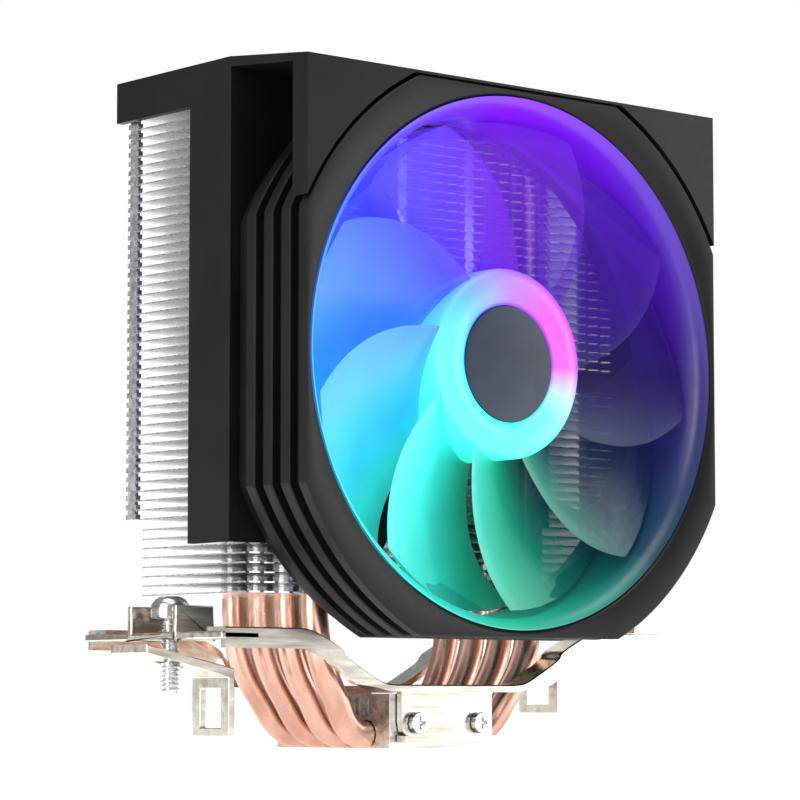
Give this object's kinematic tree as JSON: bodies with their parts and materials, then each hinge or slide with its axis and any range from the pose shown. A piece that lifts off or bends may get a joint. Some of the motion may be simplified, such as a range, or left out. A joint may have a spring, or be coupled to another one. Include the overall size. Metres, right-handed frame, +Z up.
{
  "type": "cpu tower cooler",
  "caption": "Tower cooler for a desktop processor, with a fin stack on copper heat pipes, a direct-contact base, a lighted axial fan under a black cover and a screw-tensioned socket clip.",
  "frame": {"origin": "centre of the cold plate's contact face, which is the lowest face of the base", "axes": "+Z up from the processor to the cover's top, -Y towards the fan's intake, +X to the right seen from the fan"},
  "size_m": [0.136, 0.072, 0.148],
  "materials": {
    "black_plastic": "satin moulded plastic",
    "lit_plastic": "frosted, lit from inside",
    "dark_plastic": "satin",
    "fin_aluminium": "bright rolled sheet",
    "base_aluminium": "machined",
    "copper": "polished copper tube",
    "nickel_steel": "nickel-plated sheet",
    "steel": "turned",
    "magnet": "sintered",
    "bronze": "sintered bearing bronze",
    "circuit_board": "solder mask"
  },
  "bodies": {
    "cooler": {"base_block": "base_aluminium", "bracket_screw_1": "steel", "bracket_screw_2": "steel", "bracket_screw_3": "steel", "bracket_screw_4": "steel", "cover_housing": "black_plastic", "fan_circuit_board": "circuit_board", "fan_frame": "black_plastic", "fin_stack": "fin_aluminium", "front_bracket": "nickel_steel", "heat_pipe_1": "copper", "heat_pipe_2": "copper", "heat_pipe_3": "copper", "heat_pipe_4": "copper", "left_yoke": "nickel_steel", "light_board_ring": "circuit_board", "light_diffuser_ring": "lit_plastic", "rear_bracket": "nickel_steel", "right_hook": "nickel_steel", "right_yoke": "nickel_steel", "sleeve_bearing": "bronze", "stator_core": "steel", "stator_winding": "copper"},
    "rotor": {"fan_rotor": "lit_plastic", "hub_light_ring": "lit_plastic", "hub_disc": "dark_plastic", "rotor_yoke": "steel", "magnet_ring": "magnet", "rotor_shaft": "steel"},
    "screw": {"tension_screw": "steel"},
    "hook": {"left_hook": "nickel_steel"}
  },
  "joints": [
    {"name": "fan_spin", "type": "hinge", "parent": "cooler", "child": "rotor", "pos_m": [0, -0.034, 0.084], "axis": [0, 1, 0], "continuous": true},
    {"name": "screw_turn", "type": "hinge", "parent": "cooler", "child": "screw", "pos_m": [-0.06, 0, 0.02], "axis": [0, 0, 1], "range_deg": [0, 1080]},
    {"name": "hook_tilt", "type": "hinge", "parent": "cooler", "child": "hook", "pos_m": [-0.0483, 0, 0.0165], "axis": [0, 1, 0], "range_deg": [0, 3]}
  ],
  "couplings": [
    {"joint": "hook_tilt", "follows": "screw_turn", "ratio": 0.0027777}
  ]
}
